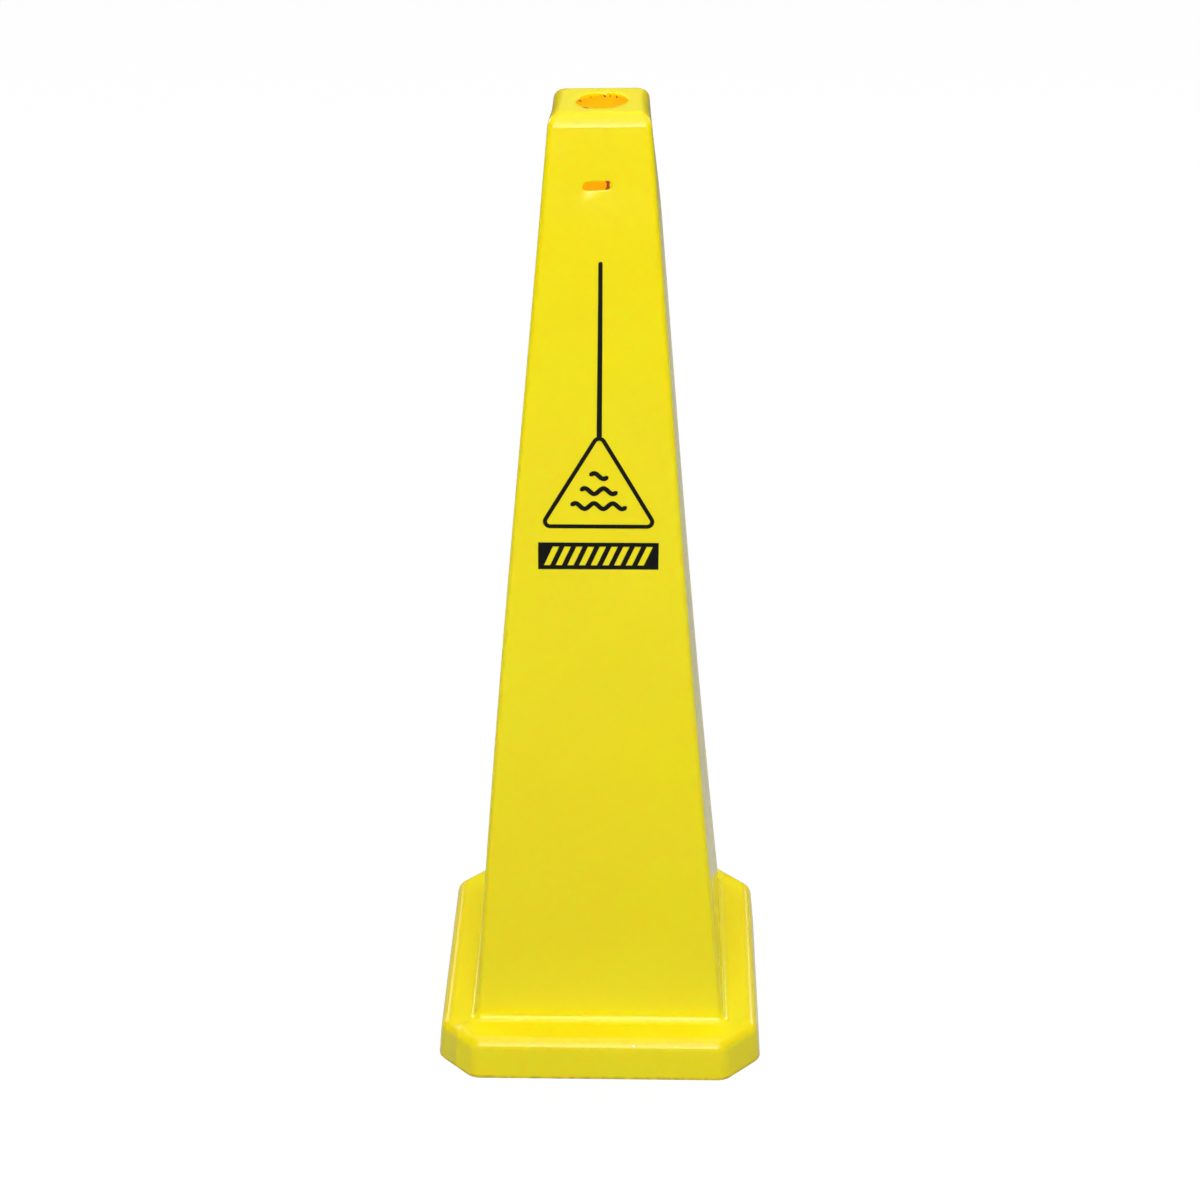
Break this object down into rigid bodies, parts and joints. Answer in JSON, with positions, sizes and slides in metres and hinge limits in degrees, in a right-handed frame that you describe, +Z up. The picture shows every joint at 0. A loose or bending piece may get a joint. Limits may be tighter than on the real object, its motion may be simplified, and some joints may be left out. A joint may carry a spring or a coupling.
{
  "type": "floor safety cone",
  "caption": "Hollow four-sided floor safety cone with a chamfered base, trimmed top hole, barrier slots near the top and black decals on its front face.",
  "frame": {"origin": "on the floor, under the middle of the base", "axes": "+Z up through the flat top, -Y out of the front face that carries the decals, +X to the right seen from the front"},
  "size_m": [0.311, 0.311, 0.914],
  "materials": {
    "yellow_moulding": "glossy blow-moulded polyethylene with a fine mould grain",
    "black_decal": "satin black film"
  },
  "bodies": {
    "root": {"cone_shell": "yellow_moulding", "line_decal": "black_decal", "triangle_decal": "black_decal", "bar_decal": "black_decal"}
  },
  "joints": []
}
